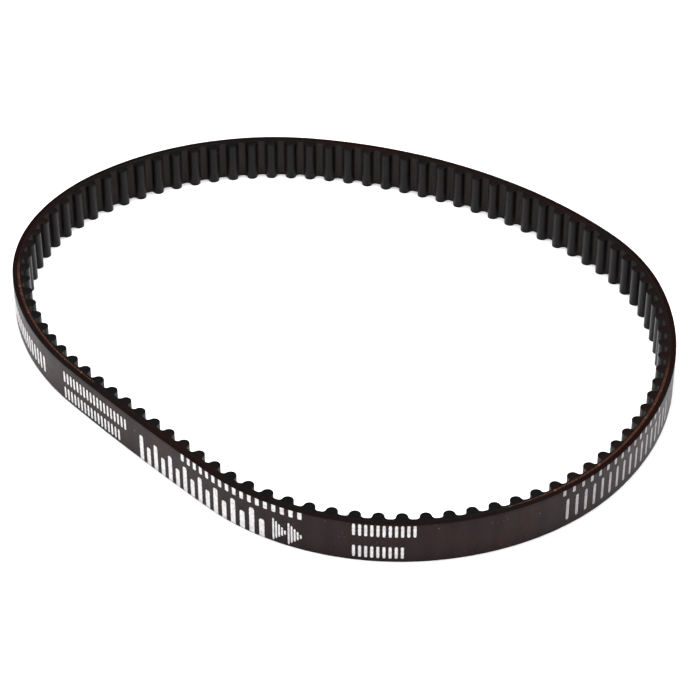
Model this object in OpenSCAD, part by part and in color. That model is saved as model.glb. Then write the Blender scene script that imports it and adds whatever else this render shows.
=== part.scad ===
// Endless synchronous belt with round teeth, lying loose on one cut edge.
// The middle line of the tension cords is the line that keeps its length, so every layer is
// placed by its distance outside (+) or inside (-) that cord line.

/* [Belt] */
// Number of teeth round the loop
tooth_count = 92; // [80:1:120]
// Distance from tooth to tooth along the cord line
tooth_pitch = 3; // [2.9:0.05:3.2]
// Width of the belt, between its two cut edges
belt_width = 6; // [6:1:15]

/* [Cross-section] */
// Thickness from tooth tip to back
belt_thickness = 2.4; // [2.3:0.05:2.6]
// Height of a tooth above the land beside it
tooth_height = 1.17; // [1.12:0.01:1.25]
// Radius of the round tooth tip, half of the tooth's width
tip_radius = 0.78; // [0.75:0.01:0.8]
// Radius of the hollow where a tooth rises from the land
root_radius = 0.5; // [0.45:0.01:0.6]
// Distance of the land inside the cord line
land_depth = 0.381; // [0.381:0.001:0.4]
// Thickness of the facing fabric over teeth and lands
facing_thickness = 0.2; // [0.15:0.01:0.2]

/* [Tension cords] */
// Diameter of one twisted glass-fibre cord
cord_diameter = 0.36; // [0.3:0.01:0.36]
// Distance between two neighbouring turns, one of each twist
cord_spacing = 0.6; // [0.5:0.05:0.8]
// Rubber that covers the cords on their back side
cord_cover = 0.04; // [0.02:0.01:0.06]
// Place round the loop where the S-twist cord runs out of the upper edge
cord_exit = 80.6; // [0:0.1:130]

/* [Print] */
// Thickness of the printed film on the back
print_thickness = 0.03; // [0.02:0.01:0.05]

/* [Hidden] */

// --- the loop: nine round arcs in a row, counter-clockwise seen from above ---
// Degrees that each arc turns
arc_turns = [56, 41, 51, 25, 44, 52, 56, 31, 4];
// Radius of each arc as a share of the circle that the loop would make; 0 marks the three arcs
// whose radii are worked out so that the loop closes at its full length
arc_shares = [0.75, 0.81, 0, 0.72, 1.49, 0, 0.66, 0.96, 0];
// Direction that the back faces where the first arc starts
first_heading = -136;
// Place of the first tooth
first_tooth = 2.59;

cord_length = tooth_count * tooth_pitch;
circle_radius = cord_length / (2 * PI);
last_arc = len(arc_turns) - 1;

function sum_of(list, count) = count <= 0 ? 0 : list[count - 1] + sum_of(list, count - 1);
function outward(heading) = [cos(heading), sin(heading)];

headings = [for (i = [0 : last_arc + 1]) first_heading + sum_of(arc_turns, i)];

// How far one millimetre of radius of arc i carries the loop in X and Y, and along its length
function reach(i) = concat(outward(headings[i + 1]) - outward(headings[i]), arc_turns[i] * PI / 180);
function known_reach(count) =
    count <= 0 ? [0, 0, 0]
               : arc_shares[count - 1] * circle_radius * reach(count - 1) + known_reach(count - 1);
function box_of(a, b, c) = a * cross(b, c);

solved = [for (i = [0 : last_arc]) if (arc_shares[i] == 0) i];
missing = [0, 0, cord_length] - known_reach(last_arc + 1);
whole = box_of(reach(solved[0]), reach(solved[1]), reach(solved[2]));
solved_radii = [
    box_of(missing, reach(solved[1]), reach(solved[2])) / whole,
    box_of(reach(solved[0]), missing, reach(solved[2])) / whole,
    box_of(reach(solved[0]), reach(solved[1]), missing) / whole
];
arc_radii = [
    for (i = [0 : last_arc])
        arc_shares[i] > 0 ? arc_shares[i] * circle_radius : solved_radii[search(i, solved)[0]]
];
arc_lengths = [for (i = [0 : last_arc]) arc_radii[i] * arc_turns[i] * PI / 180];
arc_starts = [for (i = [0 : last_arc]) sum_of(arc_lengths, i)];

// Centre of each arc, first with the loop's start at [0, 0], then with the loop in the middle
steps = [for (i = [0 : last_arc]) arc_radii[i] * (outward(headings[i + 1]) - outward(headings[i]))];
function walked(count) = count <= 0 ? [0, 0] : steps[count - 1] + walked(count - 1);
rough_centres = [for (i = [0 : last_arc]) walked(i) - arc_radii[i] * outward(headings[i])];
function arc_facing(heading) =
    [for (i = [0 : last_arc]) if (headings[i] <= heading && heading < headings[i + 1]) i][0];
function side(heading) =
    rough_centres[arc_facing(heading)] + arc_radii[arc_facing(heading)] * outward(heading);
middle = [(side(0).x + side(180).x) / 2, (side(90).y + side(-90).y) / 2];
arc_centres = [for (c = rough_centres) c - middle];

// A place is a length along the cord line; it may run over the loop's end
function on_loop(place) = place - cord_length * floor(place / cord_length);
function arc_at(place) = max([for (i = [0 : last_arc]) if (arc_starts[i] <= on_loop(place)) i]);
function heading_at(place) =
    headings[arc_at(place)]
    + (on_loop(place) - arc_starts[arc_at(place)]) / arc_radii[arc_at(place)] * 180 / PI;
function point_at(place, outside) =
    arc_centres[arc_at(place)] + (arc_radii[arc_at(place)] + outside) * outward(heading_at(place));

// A point beside a place, held square to the loop there: along the loop and outside the cord line
function beside(place, along, outside) =
    point_at(place, outside) + along * outward(heading_at(place) + 90);

// --- levels, outside the cord line ---
back_level = belt_thickness - tooth_height - land_depth;
bed_top = cord_diameter / 2 + cord_cover;
bed_bottom = facing_thickness - land_depth;
tip_centre = -(land_depth + tooth_height - tip_radius);
core_radius = tip_radius - facing_thickness;
// The hollow beside a tooth touches the circle of the tip. Its centre stands root_reach beside the
// tip's centre, and flank_lean is the slope of the line between the two.
root_centre = -(land_depth + root_radius);
flank_lean = asin((tip_centre - root_centre) / (tip_radius + root_radius));
root_reach = (tip_radius + root_radius) * cos(flank_lean);

teeth = [for (i = [0 : tooth_count - 1]) first_tooth + i * tooth_pitch];

// --- outlines, counter-clockwise seen from above ---
// Round a layer: under each tooth it is flat, and between two teeth it has one corner
function layer_outline(level) = [
    for (tooth = teeth)
        for (p = [
            point_at(tooth - tooth_pitch / 2, level),
            beside(tooth, -core_radius, level),
            beside(tooth, core_radius, level)
        ]) p
];
// Round tip of a tooth, from one side to the other; it starts and ends this many degrees short of
// a half turn
tip_steps = 8;
function tip_points(tooth, radius, short) = [
    for (i = [0 : tip_steps])
        let (turn = short + (180 - 2 * short) * i / tip_steps)
        beside(tooth, -radius * cos(turn), tip_centre - radius * sin(turn))
];
// Hollow beside a tooth without its end at the tip; way is -1 before the tooth and 1 after it
root_steps = 3;
function root_points(tooth, way) = [
    for (i = [1 : root_steps])
        let (
            share = (way < 0 ? root_steps + 1 - i : i) / root_steps,
            turn = flank_lean + (90 - flank_lean) * share
        )
        beside(
            tooth,
            way * (root_reach - root_radius * cos(turn)),
            root_centre + root_radius * sin(turn)
        )
];
function core_points(tooth) = concat(
    [beside(tooth, -core_radius, bed_bottom)],
    tip_points(tooth, core_radius, 0),
    [beside(tooth, core_radius, bed_bottom)]
);
facing_back = [
    for (tooth = teeth)
        for (p = concat([point_at(tooth - tooth_pitch / 2, bed_bottom)], core_points(tooth))) p
];
facing_front = [
    for (tooth = teeth)
        for (p = concat(
            [point_at(tooth - tooth_pitch / 2, -land_depth)],
            root_points(tooth, -1),
            tip_points(tooth, tip_radius, flank_lean),
            root_points(tooth, 1)
        )) p
];

module sleeve(outer_points, inner_points)
    linear_extrude(belt_width)
        difference() {
            polygon(outer_points);
            polygon(inner_points);
        }

// --- rubber and fabric ---
module back_cover()
    color([0.17, 0.15, 0.15])
        sleeve(layer_outline(back_level), layer_outline(bed_top));

module cord_bed()
    color([0.12, 0.08, 0.07])
        sleeve(layer_outline(bed_top), layer_outline(bed_bottom));

module tooth_cores()
    color([0.1, 0.1, 0.1])
        for (tooth = teeth)
            linear_extrude(belt_width)
                polygon(core_points(tooth));

module tooth_facing()
    color([0.22, 0.22, 0.23])
        sleeve(facing_back, facing_front);

// --- tension cords: two windings side by side, cut off at both edges of the belt ---
cord_radius = cord_diameter / 2;
cord_sides = 6;
winding_rise = 2 * cord_spacing;
// How far past an edge a cord's middle still leaves a useful sliver inside the belt
cord_overrun = 0.8 * cord_radius;
wound_length = cord_length * (belt_width + 2 * cord_overrun) / winding_rise;
ring_spacing = 4;
cord_rings = ceil(wound_length / ring_spacing);
// Straight pieces between rings cut the corner of a bend, so the rings stand this much outside
chord_lift = pow(ring_spacing, 2) / (16 * circle_radius);

function cord_height(share) = -cord_overrun + share * (belt_width + 2 * cord_overrun);
// Angle from straight down to where a cord of this height meets the lower or the upper edge
function cut_angle(room) = acos(max(-1, min(1, room / cord_radius)));
function cord_ring(place, height) =
    let (
        half = 90 / cord_sides,
        low = max(cut_angle(height), 2 * half),
        high = 180 - max(cut_angle(belt_width - height), 2 * half),
        levels = cord_sides / 2 - 1
    )
    [
        for (way = [1, -1])
            for (i = [0 : levels])
                let (
                    turn = way > 0 ? low + (high - low) * i / levels : high - (high - low) * i / levels,
                    p = point_at(place, chord_lift + way * cord_radius * sin(turn))
                )
                [p.x, p.y, height - cord_radius * cos(turn)]
    ];

module tension_cord(exit_place) {
    last_place = exit_place + cord_length * cord_overrun / winding_rise;
    rings = [
        for (k = [0 : cord_rings])
            cord_ring(last_place - wound_length * (1 - k / cord_rings), cord_height(k / cord_rings))
    ];
    points = [for (ring = rings) for (p = ring) p];
    sides = [
        for (k = [0 : cord_rings - 1])
            for (i = [0 : cord_sides - 1])
                let (j = (i + 1) % cord_sides, a = k * cord_sides, b = a + cord_sides)
                for (face = [[a + i, b + i, b + j], [a + i, b + j, a + j]]) face
    ];
    first_end = [for (i = [0 : cord_sides - 1]) i];
    last_end = [for (i = [cord_sides - 1 : -1 : 0]) cord_rings * cord_sides + i];
    polyhedron(points, concat(sides, [first_end, last_end]), convexity = 4);
}

module tension_cord_s()
    color([0.45, 0.2, 0.12])
        tension_cord(cord_exit);

module tension_cord_z()
    color([0.55, 0.27, 0.15])
        tension_cord(cord_exit + cord_length / 2);

// --- print on the back: plain bars, in rows that the slitting of the belt cut where it liked ---
// One bar of print; its place is the middle of its length
module print_bar(place, bottom, top, length)
    translate([0, 0, bottom])
        linear_extrude(min(top, belt_width) - bottom)
            polygon([
                beside(place, -length / 2, back_level),
                beside(place, -length / 2, back_level + print_thickness),
                beside(place, length / 2, back_level + print_thickness),
                beside(place, length / 2, back_level)
            ]);

// A row of bars, its first one starting at a place; a bar stands every step
module print_row(start, bottom, top, count, step, length)
    for (i = [0 : count - 1])
        print_bar(start + length / 2 + i * step, bottom, top, length);

white = [0.93, 0.93, 0.92];
silver = [0.66, 0.64, 0.66];

// Tall and low bars by turns
module print_main_row()
    color(white) {
        print_row(262.4, 0, 4.1, 8, 2.92, 0.8);
        print_row(263.86, 0, 2.9, 8, 2.92, 0.8);
    }

module print_cut_row()
    color(white)
        print_row(270.9, 4.85, 6, 17, 1.17, 0.6);

// Two arrowheads that point along the loop, each of five bars that grow shorter
module print_arrow()
    color(white)
        for (start = [10.35, 12.45], step = [0 : 4])
            print_bar(start + 0.4 * step, 0.3 + 0.36 * step, 3.8 - 0.36 * step, 0.3);

module print_double_row()
    color(white) {
        print_row(20.5, 4, 5.85, 11, 0.74, 0.42);
        print_row(20.5, 0.55, 2.4, 9, 0.74, 0.42);
    }

module print_size_row()
    color(silver)
        print_row(48.2, 1, 4.35, 17, 1.53, 0.5);

module print_size_cut_row()
    color(silver)
        print_row(47.6, 5.1, 6, 15, 1.53, 0.5);

module print_origin_rows()
    color(white) {
        print_row(245.7, 3.05, 4.8, 19, 0.75, 0.42);
        print_row(245.7, 0.4, 2.2, 17, 0.75, 0.42);
    }

module print_batch_row()
    color(white)
        print_row(226, 1.3, 3.95, 15, 1.01, 0.55);

back_cover();
cord_bed();
tension_cord_s();
tension_cord_z();
tooth_cores();
tooth_facing();
print_main_row();
print_cut_row();
print_arrow();
print_double_row();
print_size_row();
print_size_cut_row();
print_origin_rows();
print_batch_row();
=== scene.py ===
import math

import bpy
import numpy as np
from mathutils import Matrix, Vector


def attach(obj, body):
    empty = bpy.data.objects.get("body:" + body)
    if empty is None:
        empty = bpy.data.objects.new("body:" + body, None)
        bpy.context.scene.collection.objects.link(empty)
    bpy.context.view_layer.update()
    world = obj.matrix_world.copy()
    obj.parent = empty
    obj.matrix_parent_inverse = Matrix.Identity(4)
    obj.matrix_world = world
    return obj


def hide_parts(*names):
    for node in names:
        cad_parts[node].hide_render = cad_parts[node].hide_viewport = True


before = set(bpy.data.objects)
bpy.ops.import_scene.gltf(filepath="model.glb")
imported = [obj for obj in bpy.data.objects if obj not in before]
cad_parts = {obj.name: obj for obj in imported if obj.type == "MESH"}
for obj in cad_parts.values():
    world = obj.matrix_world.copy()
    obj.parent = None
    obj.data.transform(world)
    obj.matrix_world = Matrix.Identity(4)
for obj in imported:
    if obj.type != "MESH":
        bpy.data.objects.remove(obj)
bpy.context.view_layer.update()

# A round-tooth timing belt that lies loose on one cut edge. Lengths are in millimetres until a
# mesh is made. A place is a length round the loop along the middle line of the tension cords,
# "outside" is a distance from that line, towards the back of the belt, and a height is a
# distance from the lower cut edge.

# --- driving dimensions, the same as the CAD's ---
TOOTH_COUNT = 92
TOOTH_PITCH = 3.0
BELT_WIDTH = 6.0
BELT_THICKNESS = 2.4
TOOTH_HEIGHT = 1.17
TIP_RADIUS = 0.78
ROOT_RADIUS = 0.5
LAND_DEPTH = 0.381
FACING_THICKNESS = 0.2
CORD_RADIUS = 0.18
CORD_SPACING = 0.6
CORD_COVER = 0.04
CORD_EXIT = 80.6
FIRST_TOOTH = 2.59
ARC_TURNS = (56, 41, 51, 25, 44, 52, 56, 31, 4)
ARC_SHARES = (0.75, 0.81, 0, 0.72, 1.49, 0, 0.66, 0.96, 0)
FIRST_HEADING = -136

LOOP_LENGTH = TOOTH_COUNT * TOOTH_PITCH
BACK_LEVEL = BELT_THICKNESS - TOOTH_HEIGHT - LAND_DEPTH
BED_TOP = CORD_RADIUS + CORD_COVER
BED_BOTTOM = FACING_THICKNESS - LAND_DEPTH
TIP_CENTRE = -(LAND_DEPTH + TOOTH_HEIGHT - TIP_RADIUS)
CORE_RADIUS = TIP_RADIUS - FACING_THICKNESS
# The hollow beside a tooth touches the circle of the tip
ROOT_CENTRE = -(LAND_DEPTH + ROOT_RADIUS)
FLANK_LEAN = math.asin((TIP_CENTRE - ROOT_CENTRE) / (TIP_RADIUS + ROOT_RADIUS))
ROOT_REACH = (TIP_RADIUS + ROOT_RADIUS) * math.cos(FLANK_LEAN)

# --- what moulding, grinding and slitting leave on a real belt ---
EDGE_ROUND = 0.06       # the corners of the back
LAYER_ROUND = 0.01      # the hidden corners where two layers of rubber meet
BED_ROUND = 0.015
CORE_ROUND = 0.03
FABRIC_ROUND = 0.05     # the cut rim of the facing
GROUND_OFF = 0.001      # the least that grinding took off the back
BACK_DIP = 0.012        # hollows in the back, one over each land
CUT_WANDER = 0.03       # how far the slitting knife wanders
BED_SUNK = 0.025        # how far the soft rubber round the cords pulls back from the cut
CORE_SUNK = 0.012       # the same for the teeth and their facing
INK_THICKNESS = 0.024
INK_SUNK = 0.02         # how far the ink reaches into the back, to follow its dips

METRE = 0.001


# ------------------------------------------------------------------ the loop
def outward(heading):
    return np.stack([np.cos(heading), np.sin(heading)], -1)


def lay_loop():
    """Headings, radii, centres and first places of the arcs; three radii close the loop."""
    turns = np.radians(ARC_TURNS)
    headings = math.radians(FIRST_HEADING) + np.concatenate([[0], np.cumsum(turns)])
    reach = np.column_stack([outward(headings[1:]) - outward(headings[:-1]), turns])
    radii = np.array(ARC_SHARES) * LOOP_LENGTH / (2 * math.pi)
    solved = radii == 0
    missing = np.array([0, 0, LOOP_LENGTH]) - radii @ reach
    radii[solved] = np.linalg.solve(reach[solved].T, missing)
    walked = np.cumsum(radii[:, None] * reach[:, :2], axis=0)
    centres = np.vstack([[0, 0], walked[:-1]]) - radii[:, None] * outward(headings[:-1])
    starts = np.concatenate([[0], np.cumsum(radii * turns)[:-1]])
    return headings, radii, centres, starts


HEADINGS, RADII, CENTRES, STARTS = lay_loop()


def arc_and_heading(place):
    place = np.mod(place, LOOP_LENGTH)
    arc = np.searchsorted(STARTS, place, side="right") - 1
    return arc, HEADINGS[arc] + (place - STARTS[arc]) / RADII[arc]


def heading_at(place):
    return arc_and_heading(place)[1]


def point_at(place, outside=0.0):
    """XY of a place on the loop, that far outside the cord line."""
    arc, heading = arc_and_heading(place)
    return CENTRES[arc] + (RADII[arc] + outside)[..., None] * outward(heading)


def beside(place, along, outside):
    """XY of a point held square to the loop at a place, as the points of a tooth are."""
    along = np.asarray(along, float)
    return point_at(place, outside) + along[..., None] * outward(heading_at(place) + math.pi / 2)


def centre_loop():
    """Moves the arcs' centres so that the middle of the loop's box is the frame's origin."""
    round_loop = point_at(np.arange(0, LOOP_LENGTH, 0.01))
    CENTRES[:] -= (round_loop.min(0) + round_loop.max(0)) / 2


centre_loop()


# ------------------------------------------------------- small irregularities
def wobble(place, seed, waves):
    """A smooth, endless wobble round the loop, from about -1 to 1."""
    rng = np.random.default_rng(seed)
    total = sum(
        rng.uniform(0.5, 1) * np.sin(2 * math.pi * count * np.asarray(place) / LOOP_LENGTH + turn)
        for count, turn in zip(waves, rng.uniform(0, 2 * math.pi, len(waves)))
    )
    return np.clip(total / (0.6 * len(waves)), -1, 1)


SLOW_WAVES = (3, 7, 11, 19, 31)
QUICK_WAVES = (41, 67, 97, 151, 233)


def knife_path(place, seed):
    """How far inside the belt's nominal width a cut runs, always above 0."""
    slow = 0.5 + 0.5 * wobble(place, seed, SLOW_WAVES)
    quick = 0.5 + 0.5 * wobble(place, seed + 1, QUICK_WAVES)
    return CUT_WANDER * (0.75 * slow + 0.25 * quick)


def slit(place, height):
    """The height of a point between the two cuts, which wander a little along the belt."""
    low = knife_path(place, 11)
    high = BELT_WIDTH - knife_path(place, 23)
    return low + (high - low) * height / BELT_WIDTH


def back_dip(place, height):
    """How far the ground back lies inside its nominal level, always above 0."""
    over_tooth = 0.5 + 0.5 * np.cos(2 * math.pi * (place - FIRST_TOOTH) / TOOTH_PITCH)
    ground = 0.5 + 0.5 * wobble(place + 2.3 * height, 37, SLOW_WAVES)
    return GROUND_OFF + BACK_DIP * (0.6 * (1 - over_tooth) + 0.4 * ground)


# -------------------------------------------------------------------- meshes
def build_piece(name, points, faces, corner_uvs, materials, face_materials=None):
    """A mesh object from points in millimetres; corner_uvs has one row for each face corner."""
    mesh = bpy.data.meshes.new(name)
    mesh.from_pydata((np.asarray(points) * METRE).tolist(), [], faces)
    for material in materials:
        mesh.materials.append(material)
    if face_materials is not None:
        mesh.polygons.foreach_set("material_index", np.asarray(face_materials, np.int32))
    uv = mesh.uv_layers.new(name="lay")
    uv.data.foreach_set("uv", np.asarray(corner_uvs, np.float32).ravel())
    mesh.polygons.foreach_set("use_smooth", np.ones(len(mesh.polygons), bool))
    mesh.set_sharp_from_angle(angle=math.radians(50))
    mesh.validate()
    piece = bpy.data.objects.new(name, mesh)
    bpy.context.scene.collection.objects.link(piece)
    return piece


def grid_faces(columns, rows, close_columns, close_rows):
    """Quads of a grid of columns x rows points, and each corner's column and row number."""
    last_column = columns if close_columns else columns - 1
    last_row = rows if close_rows else rows - 1
    i, j = np.meshgrid(np.arange(last_column), np.arange(last_row), indexing="ij")
    i, j = i.ravel(), j.ravel()
    corner_i = np.stack([i, i + 1, i + 1, i], -1)
    corner_j = np.stack([j, j, j + 1, j + 1], -1)
    faces = (corner_i % columns) * rows + corner_j % rows
    return faces, corner_i, corner_j


def sleeve(name, rings, along, across, materials, row_is_cut):
    """A ring-shaped solid that closes both ways. rings[i, j] is point j of cross-section i, and
    the second material goes where the face after point j is a cut one."""
    columns, rows = rings.shape[:2]
    faces, corner_i, corner_j = grid_faces(columns, rows, True, True)
    uvs = np.stack([along[corner_i], across[corner_j]], -1)
    face_materials = np.asarray(row_is_cut, int)[corner_j[:, 0]]
    return build_piece(name, rings.reshape(-1, 3), faces.tolist(), uvs.reshape(-1, 2),
                       materials, face_materials)


def finish_piece(piece, slot, *nodes):
    """Puts a piece on the belt's body in place of its CAD nodes."""
    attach(piece, "root")
    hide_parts(*nodes)


def running_length(points):
    """Length along a closed outline at each of its points, and once more at its end."""
    steps = np.linalg.norm(np.roll(points, -1, axis=0) - points, axis=1)
    return np.concatenate([[0], np.cumsum(steps)])


# ----------------------------------------------------------------- materials
class Shader:
    """A Principled material whose nodes are added one call at a time."""

    def __init__(self, name, **constants):
        self.material = bpy.data.materials.new(name)
        self.material.use_nodes = True
        self.tree = self.material.node_tree
        self.tree.nodes.clear()
        output = self.tree.nodes.new("ShaderNodeOutputMaterial")
        self.bsdf = self.tree.nodes.new("ShaderNodeBsdfPrincipled")
        self.tree.links.new(self.bsdf.outputs[0], output.inputs[0])
        for socket, value in constants.items():
            self.bsdf.inputs[socket.replace("_", " ")].default_value = value

    def add(self, kind, inputs, output=0, **settings):
        made = self.tree.nodes.new("ShaderNode" + kind)
        for key, value in settings.items():
            setattr(made, key, value)
        for key, value in inputs.items():
            if isinstance(value, bpy.types.NodeSocket):
                self.tree.links.new(value, made.inputs[key])
            else:
                made.inputs[key].default_value = value
        return made.outputs[output]

    def set(self, socket, value):
        self.tree.links.new(value, self.bsdf.inputs[socket])

    # Coordinates -----------------------------------------------------
    def place_mm(self, *stretch):
        """Place in the frame in millimetres, times a factor on each axis."""
        raw = self.add("TexCoord", {}, output=3)
        return self.add("VectorMath", {0: raw, 1: [1000 * s for s in stretch]},
                        operation="MULTIPLY")

    def lay(self):
        """Length along the loop and across the section, in millimetres."""
        uv = self.add("UVMap", {}, uv_map="lay")
        split = self.tree.nodes.new("ShaderNodeSeparateXYZ")
        self.tree.links.new(uv, split.inputs[0])
        return split.outputs[0], split.outputs[1]

    def rolled(self, total, along_scale, across_scale):
        """The lay wrapped round a cylinder, so that a pattern meets itself round the loop."""
        along, across = self.lay()
        turn = self.math("MULTIPLY", along, 2 * math.pi / total)
        radius = along_scale * total / (2 * math.pi)
        x = self.math("MULTIPLY", self.math("COSINE", turn), radius)
        y = self.math("MULTIPLY", self.math("SINE", turn), radius)
        z = self.math("MULTIPLY", across, across_scale)
        return self.add("CombineXYZ", {0: x, 1: y, 2: z})

    # Patterns --------------------------------------------------------
    def math(self, operation, a, b=0.0, c=0.0):
        return self.add("Math", {0: a, 1: b, 2: c}, operation=operation)

    def noise(self, vector, detail=3.0, rough=0.55):
        return self.add("TexNoise", {"Vector": vector, "Scale": 1.0, "Detail": detail,
                                     "Roughness": rough})

    def span(self, value, low, high, to_low=0.0, to_high=1.0):
        return self.add("MapRange", {0: value, 1: low, 2: high, 3: to_low, 4: to_high})

    def blend(self, factor, a, b):
        """A colour between a and b."""
        return self.add("Mix", {0: factor, 6: self.colour(a), 7: self.colour(b)}, output=2,
                        data_type="RGBA")

    @staticmethod
    def colour(value):
        return value if isinstance(value, bpy.types.NodeSocket) else (*value, 1.0)

    def bump(self, height, depth_mm, under=None):
        inputs = {"Height": height, "Strength": 1.0, "Distance": depth_mm * METRE}
        if under is not None:
            inputs["Normal"] = under
        return self.add("Bump", inputs)


def backing_rubber():
    """Ground satin rubber: streaks along the belt, dust, and a faint band of painted shade at each
    tooth, lighter over the lands and darker over the teeth.
    """
    s = Shader("backing_rubber", Specular_IOR_Level=0.095)
    streaks = s.noise(s.place_mm(0.16, 0.16, 5.5), detail=4, rough=0.6)
    patches = s.noise(s.place_mm(0.11, 0.11, 0.16), detail=2)
    tints = s.noise(s.place_mm(0.3, 0.3, 0.12), detail=4, rough=0.6)
    grain = s.noise(s.place_mm(7, 7, 7), detail=4, rough=0.65)
    along, _ = s.lay()
    # Painted shade: the cosine at the tooth pitch lightens the back's colour over each land and
    # darkens it over each tooth, as shading of the back's dips.
    pitch_shade = s.math("COSINE", s.math("MULTIPLY", s.math("SUBTRACT", along, FIRST_TOOTH),
                                   2 * math.pi / TOOTH_PITCH))
    tone = s.math("ADD", s.span(streaks, 0.3, 0.7, 0, 0.4), s.span(patches, 0.3, 0.7, 0, 0.35))
    tone = s.math("ADD", tone, s.span(pitch_shade, -1, 1, 0.35, -0.05))
    rubber = s.blend(tone, (0.0065, 0.0018, 0.0023), (0.02, 0.0085, 0.0098))
    rubber = s.blend(s.span(tints, 0.53, 0.66, 0, 0.5), rubber, (0.032, 0.006, 0.0058))
    rubber = s.blend(s.span(tints, 0.46, 0.34, 0, 0.6), rubber, (0.0115, 0.011, 0.0062))
    rubber = s.blend(s.span(grain, 0.4, 0.8, 0, 0.5), rubber, (0.028, 0.0175, 0.018))
    # Dust: fine pale specks and a few larger ones, denser in some places than in others
    for cells_per_mm, largest, strength in ((1.7, 0.15, 0.35), (0.75, 0.13, 0.6)):
        cells = s.add("TexVoronoi", {"Vector": s.place_mm(*[cells_per_mm] * 3), "Scale": 1.0})
        crowd = s.span(s.noise(s.place_mm(0.3, 0.3, 0.5)), 0.4, 0.65, 0.0, largest)
        speck = s.span(s.math("SUBTRACT", crowd, cells), 0, 0.03, 0, strength)
        rubber = s.blend(speck, rubber, (0.17, 0.15, 0.13))
    s.set("Base Color", rubber)
    s.set("Roughness", s.span(s.math("ADD", streaks, grain), 0.7, 1.3, 0.34, 0.5))
    ground = s.bump(streaks, 0.02)
    s.set("Normal", s.bump(grain, 0.012, ground))
    return s.material


def cut_rubber(name, dark, light, warm, depth_mm=0.02):
    """Knife-cut rubber: dull, with fine drag lines along the loop and warm, redder stretches."""
    s = Shader(name, Specular_IOR_Level=0.04)
    lines = s.noise(s.rolled(LOOP_LENGTH, 0.5, 16), detail=4, rough=0.6)
    torn = s.noise(s.place_mm(6, 6, 6), detail=5, rough=0.7)
    stretch = s.noise(s.place_mm(0.035, 0.035, 0.0), detail=2)
    tone = s.math("ADD", s.span(lines, 0.35, 0.68, 0, 0.6), s.span(torn, 0.45, 0.8, 0, 0.5))
    rubber = s.blend(tone, dark, light)
    s.set("Base Color", s.blend(s.span(stretch, 0.45, 0.62, 0, 0.85), rubber, warm))
    s.set("Roughness", s.span(torn, 0.3, 0.7, 0.55, 0.8))
    s.set("Normal", s.bump(torn, depth_mm, s.bump(lines, depth_mm)))
    return s.material


def glass_cord(name, lay_way, bare):
    """Twisted glass fibre in its red-brown dip, with painted glints: lighter orange flecks
    standing in for light reflected off the filaments. The knife smeared rubber over most of the
    cut; it stayed bare on these stretches of the winding."""
    s = Shader(name, Specular_IOR_Level=0.06, Roughness=0.55)
    along, across = s.lay()
    twist = s.math("ADD", s.math("MULTIPLY", along, 1.4 * lay_way),
                   s.math("MULTIPLY", across, 2.2))
    strand = s.math("SINE", s.math("MULTIPLY", twist, 2 * math.pi))
    streak = s.noise(s.place_mm(1.1, 1.1, 9), detail=4, rough=0.7)
    painted_glint = s.noise(s.place_mm(1.3, 1.3, 2.6), detail=3, rough=0.6)
    fibre = s.blend(s.span(streak, 0.3, 0.7), (0.014, 0.0045, 0.0025), (0.048, 0.017, 0.01))
    fibre = s.blend(s.span(strand, -1, 1, 0, 0.35), fibre, (0.065, 0.026, 0.015))
    # Painted glints: lighter orange flecks in the colour stand in for light reflected off the
    # glass filaments.
    fibre = s.blend(s.span(painted_glint, 0.6, 0.72, 0, 0.9), fibre, (0.17, 0.08, 0.05))
    smear = s.noise(s.place_mm(0.35, 0.35, 0.9), detail=4, rough=0.65)
    clear = 0.0
    for start, end in bare:
        fade = 0.2 * (end - start)
        stretch = s.math("MULTIPLY", s.span(along, start, start + fade),
                         s.span(along, end, end - fade))
        clear = s.math("MAXIMUM", clear, stretch)
    clear = s.math("SUBTRACT", s.math("MULTIPLY", clear, 1.25), smear)
    s.set("Base Color", s.blend(s.span(clear, 0.0, 0.45), (0.006, 0.0032, 0.003), fibre))
    s.set("Normal", s.bump(strand, 0.015))
    return s.material


THREAD_SPACING = 0.2


def facing_fabric():
    """Woven nylon dipped in rubber, smoother on the crests, with the lands between the teeth
    painted lighter than the crests as painted light against the shade there.
    """
    s = Shader("facing_fabric", Specular_IOR_Level=0.12)
    along, across = s.lay()
    warp = s.math("SINE", s.math("MULTIPLY", along, 2 * math.pi / THREAD_SPACING))
    weft = s.math("SINE", s.math("MULTIPLY", across, 2 * math.pi / THREAD_SPACING))
    weave = s.math("MULTIPLY", warp, weft)
    # The crest attribute runs from 0 on the lands to 1 at the tips; it sets the crests' smoother
    # finish and the painted light on the lands.
    rubbed = s.add("Attribute", {}, output=2, attribute_name="crest")
    smear = s.noise(s.place_mm(0.5, 0.5, 0.25), detail=4, rough=0.6)
    fine = s.noise(s.place_mm(8, 8, 8), detail=4, rough=0.7)
    # Painted light: the lands get a lighter colour than the crests, to make up for the shade that
    # falls between the teeth.
    land = s.math("MULTIPLY", s.span(rubbed, 0, 0.12, 1, 0), s.span(smear, 0.3, 0.7, 0.6, 1.0))
    fabric = s.blend(s.span(smear, 0.35, 0.7), (0.002, 0.001, 0.001), (0.0055, 0.0035, 0.0036))
    fabric = s.blend(land, fabric, (0.021, 0.0145, 0.0145))
    fabric = s.blend(s.span(fine, 0.45, 0.75, 0, 0.35), fabric, (0.0095, 0.008, 0.0085))
    s.set("Base Color", s.blend(s.span(weave, -1, 1, 0.25, 0), fabric, (0.001, 0.001, 0.001)))
    s.set("Roughness", s.span(rubbed, 0, 1, 0.36, 0.27))
    s.set("Normal", s.bump(fine, 0.01, s.bump(weave, 0.012)))
    return s.material


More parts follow.
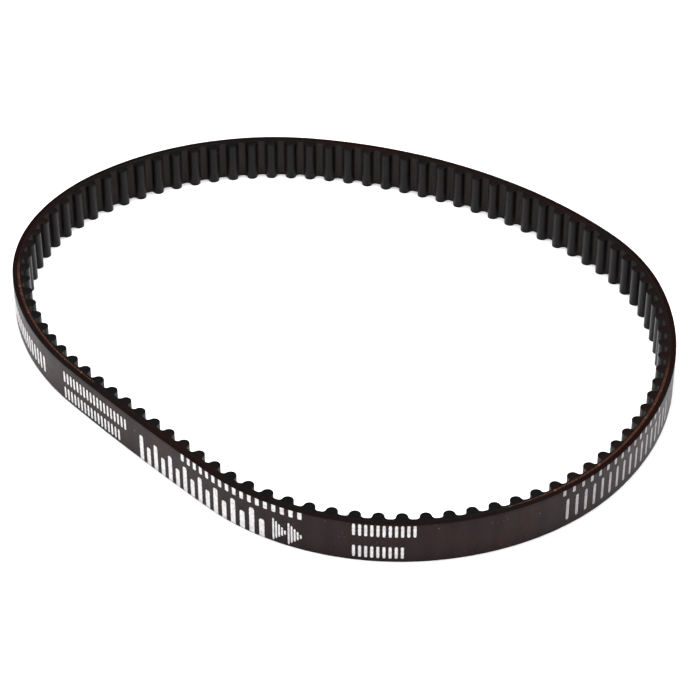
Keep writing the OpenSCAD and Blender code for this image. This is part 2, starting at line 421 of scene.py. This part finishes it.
def ink(name, fresh, worn, thin):
    """Screen-printed ink: slightly mottled, thinner at pinholes and rubbed spots."""
    s = Shader(name, Specular_IOR_Level=0.4)
    mottle = s.noise(s.place_mm(1.6, 1.6, 1.6), detail=4, rough=0.65)
    pores = s.noise(s.place_mm(6, 6, 6), detail=3, rough=0.65)
    paint = s.blend(s.span(mottle, 0.42, 0.7), fresh, worn)
    s.set("Base Color", s.blend(s.span(pores, 0.58, 0.72, 0, 0.8), paint, thin))
    s.set("Roughness", s.span(mottle, 0.3, 0.7, 0.45, 0.65))
    s.set("Normal", s.bump(pores, 0.008))
    return s.material


# ------------------------------------------------------------ layers of rubber
def rounded_section(inner, outer, low, high, inner_round, outer_round, steps):
    """Points (outside, height) round a layer's section from the foot of its outer face, and
    for each point whether the face after it is a cut one. It runs up the outer face first.
    steps are for a cut face and for the outer face."""
    cut_steps, outer_steps = steps
    faces = (
        ((outer, low), (outer, high), outer_round, outer_round, outer_steps, False),
        ((outer, high), (inner, high), outer_round, inner_round, cut_steps, True),
        ((inner, high), (inner, low), inner_round, inner_round, 2, False),
        ((inner, low), (outer, low), inner_round, outer_round, cut_steps, True),
    )
    points, cut = [], []
    for start, end, round_start, round_end, count, is_cut in faces:
        start, end = np.array(start), np.array(end)
        way = (end - start) / np.linalg.norm(end - start)
        turned = np.array([-way[1], way[0]])
        for share in np.linspace(0, 1, count + 1):
            points.append(start + way * round_start
                          + share * (end - start - way * (round_start + round_end)))
            cut.append(is_cut)
        centre = end - way * round_end + turned * round_end
        for angle in np.radians((30, 60)):
            points.append(centre + round_end * (way * np.sin(angle) - turned * np.cos(angle)))
            cut.append(True)
    return np.array(points), cut


def layer_rings(section, places, move):
    """Sweeps (outside, height) points round the loop; move gives each its last small shift."""
    place = places[:, None]
    outside, height = move(place, section[None, :, 0], section[None, :, 1])
    shape = (len(places), len(section))
    xy = point_at(np.broadcast_to(place, shape), np.broadcast_to(outside, shape))
    z = np.broadcast_to(slit(place, height), shape)
    return np.concatenate([xy, z[..., None]], -1)


def make_layer(name, section, cut, steps_per_tooth, move, materials):
    """A layer of rubber from its section; the materials are for its own and its cut faces."""
    places = np.arange(TOOTH_COUNT * steps_per_tooth) * TOOTH_PITCH / steps_per_tooth
    rings = layer_rings(section, places, move)
    along = np.append(places, LOOP_LENGTH)
    return sleeve(name, rings, along, running_length(section), materials, cut)


def ground_back(place, outside, height):
    """Only the back's outer face dips."""
    share = np.clip((outside - BED_TOP) / (BACK_LEVEL - BED_TOP), 0, 1)
    return outside - share * back_dip(place, height), height


def as_moulded(place, outside, height):
    return outside, height


def make_back():
    section, cut = rounded_section(BED_TOP, BACK_LEVEL, 0, BELT_WIDTH, LAYER_ROUND, EDGE_ROUND,
                                   (6, 12))
    slit_rubber = cut_rubber("cut_backing", (0.0025, 0.0014, 0.0013), (0.0085, 0.0048, 0.0047),
                             (0.0065, 0.001, 0.0006))
    piece = make_layer("belt_back", section, cut, 12, ground_back,
                       [backing_rubber(), slit_rubber])
    finish_piece(piece, "backing_rubber", "back_cover")


def make_cord_bed():
    section, cut = rounded_section(BED_BOTTOM, BED_TOP, BED_SUNK,
                                   BELT_WIDTH - BED_SUNK, BED_ROUND, BED_ROUND, (4, 2))
    rubber = cut_rubber("cord_rubber", (0.003, 0.0016, 0.0015), (0.0105, 0.0062, 0.0058),
                        (0.0115, 0.003, 0.0016), 0.03)
    piece = make_layer("belt_cord_bed", section, cut, 6, as_moulded, [rubber, rubber])
    finish_piece(piece, "cord_rubber", "cord_bed")


# -------------------------------------------------------------- tension cords
WINDING_RISE = 2 * CORD_SPACING
CORD_OVERRUN = 0.8 * CORD_RADIUS    # how far past an edge a cord's middle is still wound
CORD_SIDES = 14
STRANDS = 3
STRAND_DEPTH = 0.06                 # the grooves between the strands, as a share of the radius
TWISTS_PER_MM = 0.35


def cut_angle(room):
    """Angle from straight down to where an edge cuts a cord whose middle is that far from it."""
    return np.arccos(np.clip(room / CORD_RADIUS, -1, 1))


def make_cord(name, exit_place, twist_way, node, bare_from, bare_to):
    """One winding: a round twisted cord that climbs the belt and is cut off at both edges. The
    cut in the upper edge is bare between two distances past the place where the cord leaves
    it, and the one in the lower edge between the same distances before the cord comes in."""
    climbed = BELT_WIDTH + 2 * CORD_OVERRUN
    wound = LOOP_LENGTH * climbed / WINDING_RISE
    last_place = exit_place + LOOP_LENGTH * CORD_OVERRUN / WINDING_RISE
    share = np.linspace(0, 1, int(wound) + 1)
    place = (last_place - wound * (1 - share))[:, None]
    height = (-CORD_OVERRUN + share * climbed)[:, None]
    half = math.pi / CORD_SIDES
    low = np.maximum(cut_angle(height), half)
    high = math.pi - np.maximum(cut_angle(BELT_WIDTH - height), half)
    levels = np.linspace(0, 1, CORD_SIDES // 2)[None, :]
    rising = low + (high - low) * levels
    turn = np.concatenate([rising, 2 * math.pi - rising[:, ::-1]], axis=1)
    lobes = np.cos(STRANDS * (turn - twist_way * 2 * math.pi * TWISTS_PER_MM * place))
    radius = CORD_RADIUS * (1 - STRAND_DEPTH * (0.5 - 0.5 * lobes))
    outside = radius * np.sin(turn)
    z = np.clip(height - radius * np.cos(turn), 0, BELT_WIDTH)
    shape = turn.shape
    xy = point_at(np.broadcast_to(place, shape), outside)
    rings = np.concatenate([xy, slit(np.broadcast_to(place, shape), z)[..., None]], -1)
    faces, corner_i, corner_j = grid_faces(*shape, False, True)
    along = place[:, 0]
    uvs = np.stack([along[corner_i], corner_j / CORD_SIDES], -1).reshape(-1, 2)
    point_count = shape[0] * CORD_SIDES
    caps = [list(range(CORD_SIDES))[::-1], list(range(point_count - CORD_SIDES, point_count))]
    cap_uvs = [(end, j / CORD_SIDES) for end in (along[0], along[-1]) for j in range(CORD_SIDES)]
    first_place = last_place - wound
    entry_place = first_place + last_place - exit_place
    bare = [(exit_place + bare_from, exit_place + bare_to),
            (entry_place - bare_to, entry_place - bare_from)]
    piece = build_piece(name, rings.reshape(-1, 3), faces.tolist() + caps,
                        np.concatenate([uvs, cap_uvs]), [glass_cord(name, twist_way, bare)])
    finish_piece(piece, "glass_cord", node)


# -------------------------------------------------------------------- teeth
LAND_STEPS, ROOT_STEPS, FLANK_STEPS, TIP_STEPS = 2, 7, 3, 20
FACING_ROWS = 12


def tip_arc(radius, steps, short=0.0):
    """The round tip of a tooth, that much short of a half turn at both ends."""
    turn = np.linspace(short, math.pi - short, steps + 1)
    return np.column_stack([-radius * np.cos(turn), TIP_CENTRE - radius * np.sin(turn)])


def between(start, end, steps):
    """Points from start up to but without end."""
    return np.linspace(start, end, steps, endpoint=False)


def tooth_front():
    """(along, outside) of the facing's face for one tooth, from mid-land to mid-land."""
    turn = between(math.pi / 2, FLANK_LEAN, ROOT_STEPS)
    root = np.column_stack([-ROOT_REACH + ROOT_RADIUS * np.cos(turn),
                            ROOT_CENTRE + ROOT_RADIUS * np.sin(turn)])
    land = between((-TOOTH_PITCH / 2, -LAND_DEPTH), (-ROOT_REACH, -LAND_DEPTH), LAND_STEPS)
    rise = np.vstack([land, root])
    tip = tip_arc(TIP_RADIUS, TIP_STEPS, FLANK_LEAN)
    return np.vstack([rise, tip, (rise * [-1, 1])[:0:-1]])


def tooth_behind():
    """The facing's hidden face, point for point behind tooth_front."""
    corner = (-CORE_RADIUS, BED_BOTTOM)
    flat_steps = LAND_STEPS + ROOT_STEPS - FLANK_STEPS
    rise = np.vstack([
        between((-TOOTH_PITCH / 2, BED_BOTTOM), corner, flat_steps),
        between(corner, (-CORE_RADIUS, TIP_CENTRE), FLANK_STEPS),
    ])
    return np.vstack([rise, tip_arc(CORE_RADIUS, TIP_STEPS), (rise * [-1, 1])[:0:-1]])


def repeat_round(outline):
    """XY of one tooth's outline at every tooth; the middle of each land lies on the loop."""
    teeth = FIRST_TOOTH + TOOTH_PITCH * np.arange(TOOTH_COUNT)[:, None]
    along = np.broadcast_to(outline[:, 0], (TOOTH_COUNT, len(outline)))
    outside = np.broadcast_to(outline[:, 1], along.shape)
    xy = beside(np.broadcast_to(teeth, along.shape), along, outside)
    xy[:, :1] = point_at(teeth - TOOTH_PITCH / 2, outside[:, :1])
    return xy, np.broadcast_to(teeth, along.shape) + along


def facing_section():
    """Round the facing's section: the share of the way from its hidden face to its front, the
    height, and whether the face after the point is a cut one."""
    low, high = CORE_SUNK, BELT_WIDTH - CORE_SUNK
    rim = FABRIC_ROUND / FACING_THICKNESS
    half_bent = 1 - math.sqrt(0.5)
    rows = [(0, low + 0.02, False), (0, high - 0.02, True), (0.04, high, True),
            (1 - rim, high, True), (1 - rim * half_bent, high - FABRIC_ROUND * half_bent, True),
            (1, high - FABRIC_ROUND, False)]
    rows += [(1, height, False) for height in np.linspace(high - 0.2, low + 0.2, FACING_ROWS)]
    rows += [(1, low + FABRIC_ROUND, False),
             (1 - rim * half_bent, low + FABRIC_ROUND * half_bent, True),
             (1 - rim, low, True), (0.04, low, True)]
    share, height, is_cut = np.array(rows).T
    return share, height, is_cut


def whole_thread_lengths(front):
    """Length along the facing at each point of the loop, with whole threads on every tooth."""
    steps = np.diff(np.vstack([front, front[:1] + [TOOTH_PITCH, 0]]), axis=0)
    lengths = np.linalg.norm(steps, axis=1)
    lengths *= round(lengths.sum() / THREAD_SPACING) * THREAD_SPACING / lengths.sum()
    return np.concatenate([[0], np.cumsum(np.tile(lengths, TOOTH_COUNT))])


def make_facing():
    front = tooth_front()
    front_xy, place = repeat_round(front)
    behind_xy, _ = repeat_round(tooth_behind())
    front_xy, behind_xy = front_xy.reshape(-1, 2), behind_xy.reshape(-1, 2)
    share, height, is_cut = facing_section()
    xy = behind_xy[:, None] + share[None, :, None] * (front_xy - behind_xy)[:, None]
    z = slit(place.reshape(-1, 1), np.broadcast_to(height, xy.shape[:2]))
    rings = np.concatenate([xy, z[..., None]], -1)
    across = np.concatenate([height, height[:1]])
    cut = cut_rubber("cut_facing", (0.002, 0.0019, 0.0022), (0.0075, 0.0071, 0.008),
                     (0.0065, 0.0042, 0.004))
    piece = sleeve("belt_tooth_fabric", rings, whole_thread_lengths(front), across,
                   [facing_fabric(), cut], is_cut)
    # How far up a tooth each point lies; the facing material paints the lands lighter from it, as
    # painted light against the shade between the teeth.
    depth = np.clip((-front[:, 1] - LAND_DEPTH) / TOOTH_HEIGHT, 0, 1)
    crest = np.repeat(np.tile(depth**2, TOOTH_COUNT), len(share))
    attribute = piece.data.attributes.new("crest", "FLOAT", "POINT")
    attribute.data.foreach_set("value", crest.astype(np.float32))
    finish_piece(piece, "facing_fabric", "tooth_facing")


def make_cores():
    """The rubber inside every tooth, which shows only where the belt was slit."""
    outline = np.vstack([tip_arc(CORE_RADIUS, TIP_STEPS)[::-1],
                         [(-CORE_RADIUS, BED_BOTTOM), (0, BED_BOTTOM), (CORE_RADIUS, BED_BOTTOM)]])
    heart = np.array([0, (TIP_CENTRE + BED_BOTTOM) / 2])
    top = BELT_WIDTH - CORE_SUNK
    # (size of the outline round its heart, height) from the lower cut to the upper one
    levels = [(0.3, CORE_SUNK), (0.7, CORE_SUNK), (0.95, CORE_SUNK), (1, CORE_SUNK + CORE_ROUND),
              (1, BELT_WIDTH / 2), (1, top - CORE_ROUND), (0.95, top), (0.7, top), (0.3, top)]
    size, rows = len(outline), len(levels)
    points, faces, place_of = [], [], []
    for tooth in FIRST_TOOTH + TOOTH_PITCH * np.arange(TOOTH_COUNT):
        base = len(points)
        flat = [(heart, CORE_SUNK)]
        flat += [(heart + shrink * (p - heart), h) for shrink, h in levels for p in outline]
        flat += [(heart, top)]
        for p, h in flat:
            xy = beside(np.float64(tooth), p[0], np.float64(p[1]))
            points.append((xy[0], xy[1], float(slit(tooth + p[0], h))))
            place_of.append((tooth + p[0], p[1]))
        for i in range(size):
            j = (i + 1) % size
            faces.append((base, base + 1 + j, base + 1 + i))
            for k in range(rows - 1):
                a, b = base + 1 + k * size, base + 1 + (k + 1) * size
                faces.append((a + i, a + j, b + j, b + i))
            last = base + 1 + (rows - 1) * size
            faces.append((last + i, last + j, last + size))
    uvs = [place_of[v] for face in faces for v in face]
    rubber = cut_rubber("tooth_rubber", (0.0015, 0.0014, 0.0016), (0.006, 0.0056, 0.006),
                        (0.0075, 0.003, 0.0024))
    piece = build_piece("belt_tooth_rubber", points, faces, uvs, [rubber])
    finish_piece(piece, "tooth_rubber", "tooth_cores")


# -------------------------------------------------------------------- print
CORNER_POWER = 7        # the higher, the squarer a bar's corners
RAGGED = 0.05           # how far a bar's sides wander
BAR_CELL = (0.12, 0.15)     # the mesh of a bar, along the loop and up


def bar_grid(start, bottom, top, length):
    """Place and height over one bar of ink, and how near each point is to its rim. A bar that
    reaches a cut edge of the belt was cut with it, so it is square there."""
    columns = max(4, int(length / BAR_CELL[0]))
    rows = max(6, int((top - bottom) / BAR_CELL[1]))
    u, v = np.meshgrid(np.linspace(-1, 1, columns + 1), np.linspace(-1, 1, rows + 1),
                       indexing="ij")
    rim = np.maximum(np.abs(u), np.abs(v))
    square = ((v < 0) & (bottom <= 0)) | ((v > 0) & (top >= BELT_WIDTH))
    power = (np.abs(u)**CORNER_POWER + np.abs(v)**CORNER_POWER)**(1 / CORNER_POWER)
    shrink = np.where(square | (power == 0), 1, rim / np.maximum(power, 1e-9))
    bottom, top = max(bottom, EDGE_ROUND), min(top, BELT_WIDTH - EDGE_ROUND)
    place = start + length / 2 + u * shrink * length / 2
    height = (bottom + top) / 2 + v * shrink * (top - bottom) / 2
    return place, height, rim


def rim_of_grid(columns, rows):
    """Point numbers once round the rim of a grid."""
    rim = [(i, 0) for i in range(columns - 1)]
    rim += [(columns - 1, j) for j in range(rows - 1)]
    rim += [(i, rows - 1) for i in range(columns - 1, 0, -1)]
    rim += [(0, j) for j in range(rows - 1, 0, -1)]
    return [i * rows + j for i, j in rim]


def make_bar(start, bottom, top, length):
    """Points, faces and lay of one bar, a thin crowned solid with slightly ragged sides."""
    place, height, rim = bar_grid(start, bottom, top, length)
    middle = start + length / 2
    ragged = np.sin(9 * height + 7 * middle) + np.sin(17 * height + 3 * place)
    place = place - 0.5 * RAGGED * rim**4 * (1 + 0.5 * ragged) * np.sign(place - middle)
    z = slit(place, height)[..., None]
    crown = INK_THICKNESS * (1 - rim**10)
    upper = np.concatenate([point_at(place, BACK_LEVEL + crown), z], -1)
    under = np.concatenate([point_at(place, np.full(place.shape, BACK_LEVEL - INK_SUNK)), z], -1)
    quads = grid_faces(*place.shape, False, False)[0]
    below = place.size
    faces = quads.tolist() + (quads[:, ::-1] + below).tolist()
    around = rim_of_grid(*place.shape)
    faces += [[below + a, below + b, b, a] for a, b in zip(around, around[1:] + around[:1])]
    lay = np.stack([place.ravel(), height.ravel()], -1).tolist() * 2
    return np.concatenate([upper.reshape(-1, 3), under.reshape(-1, 3)]).tolist(), faces, lay


def make_marks(name, slot, node, material, rows):
    """Rows of plain printed bars, each row (start, bottom, top, count, step, length)."""
    points, faces, lay = [], [], []
    for start, bottom, top, count, step, length in rows:
        for i in range(count):
            bar_points, bar_faces, bar_lay = make_bar(start + i * step, bottom, top, length)
            faces += [[len(points) + v for v in face] for face in bar_faces]
            points += bar_points
            lay += bar_lay
    corner_uvs = [lay[v] for face in faces for v in face]
    piece = build_piece(name, points, faces, corner_uvs, [material])
    finish_piece(piece, slot, node)


def arrowhead(start):
    """A plain arrowhead: five bars, each one shorter than the one before."""
    bars, step, length = 5, 0.4, 0.3
    bottom, top, taper = 0.3, 3.8, 0.36
    return [(start + step * i, bottom + taper * i, top - taper * i, 1, step, length)
            for i in range(bars)]


def make_print():
    white = ink("print_white", (0.82, 0.8, 0.81), (0.56, 0.54, 0.55), (0.16, 0.14, 0.14))
    silver = ink("print_silver", (0.43, 0.4, 0.42), (0.26, 0.24, 0.255), (0.08, 0.07, 0.07))
    make_marks("mark_main_row", "print_white", "print_main_row", white,
               [(262.4, 0, 4.1, 8, 2.92, 0.8), (263.86, 0, 2.9, 8, 2.92, 0.8)])
    make_marks("mark_cut_row", "print_white", "print_cut_row", white,
               [(270.9, 4.85, 6, 17, 1.17, 0.6)])
    make_marks("mark_arrow", "print_white", "print_arrow", white,
               arrowhead(10.2) + arrowhead(12.3))
    make_marks("mark_double_row", "print_white", "print_double_row", white,
               [(20.5, 4, 5.85, 11, 0.74, 0.42), (20.5, 0.55, 2.4, 9, 0.74, 0.42)])
    make_marks("mark_size_row", "print_silver", "print_size_row", silver,
               [(48.2, 1, 4.35, 17, 1.53, 0.5)])
    make_marks("mark_size_cut_row", "print_silver", "print_size_cut_row", silver,
               [(47.6, 5.1, 6, 15, 1.53, 0.5)])
    make_marks("mark_origin_rows", "print_white", "print_origin_rows", white,
               [(245.7, 3.05, 4.8, 19, 0.75, 0.42), (245.7, 0.4, 2.2, 17, 0.75, 0.42)])
    make_marks("mark_batch_row", "print_white", "print_batch_row", white,
               [(226, 1.3, 3.95, 15, 1.01, 0.55)])


# ------------------------------------------------------------------- studio
def pale_paper():
    s = Shader("pale_paper", Roughness=0.9, Specular_IOR_Level=0.1)
    cloud = s.noise(s.place_mm(0.02, 0.02, 0.02), detail=2)
    s.set("Base Color", s.blend(cloud, (0.93, 0.93, 0.93), (0.95, 0.95, 0.95)))
    return s.material


def make_floor():
    size = 2.0
    mesh = bpy.data.meshes.new("floor")
    corners = [(x * size, y * size, 0) for x, y in ((-1, -1), (1, -1), (1, 1), (-1, 1))]
    mesh.from_pydata(corners, [], [(0, 1, 2, 3)])
    mesh.materials.append(pale_paper())
    floor = bpy.data.objects.new("floor", mesh)
    bpy.context.scene.collection.objects.link(floor)


def area_light(name, position, size, watts):
    """A soft light that faces the belt, in metres and watts."""
    light = bpy.data.lights.new(name, "AREA")
    light.shape = "RECTANGLE"
    light.size, light.size_y = size
    light.energy = watts
    lamp = bpy.data.objects.new(name, light)
    way = (Vector((0, 0, 0)) - Vector(position)).normalized()
    turn = way.to_track_quat("-Z", "Y").to_matrix().to_4x4()
    lamp.matrix_world = Matrix.Translation(position) @ turn
    bpy.context.scene.collection.objects.link(lamp)


def make_lights():
    area_light("overhead", (0, 0, 0.9), (0.8, 0.6), 19)
    area_light("side_left", (-0.9, -0.2, 0.35), (0.5, 0.4), 1.6)
    world = bpy.data.worlds.new("studio")
    world.use_nodes = True
    background = world.node_tree.nodes["Background"]
    background.inputs["Color"].default_value = (1, 1, 1, 1)
    background.inputs["Strength"].default_value = 0.035
    bpy.context.scene.world = world
    bpy.context.scene.view_settings.view_transform = "Standard"


# The photograph's view: where the camera aims, its angle above the floor and its distance
AIM = (1.659, -1.024, 0.0)
ELEVATION = 36.77
DISTANCE = 344.68
FOCAL_LENGTH = 128.31
SENSOR = 36.0


def make_camera():
    rise = math.radians(ELEVATION)
    back = Vector((0, -math.cos(rise), math.sin(rise)))
    right = Vector((1, 0, 0))
    turn = Matrix((right, back.cross(right), back)).transposed().to_4x4()
    data = bpy.data.cameras.new("camera")
    data.sensor_width = SENSOR
    data.lens = FOCAL_LENGTH
    data.clip_start = 0.01
    camera = bpy.data.objects.new("camera", data)
    place = (Vector(AIM) + back * DISTANCE) * METRE
    camera.matrix_world = Matrix.Translation(place) @ turn
    bpy.context.scene.collection.objects.link(camera)
    bpy.context.scene.camera = camera


make_camera()
make_back()
make_cord_bed()
make_cord("belt_cord_s", CORD_EXIT, -1, "tension_cord_s", -46, 3)
make_cord("belt_cord_z", CORD_EXIT + LOOP_LENGTH / 2, 1, "tension_cord_z", -3, 44)
make_facing()
make_cores()
make_print()
make_floor()
make_lights()
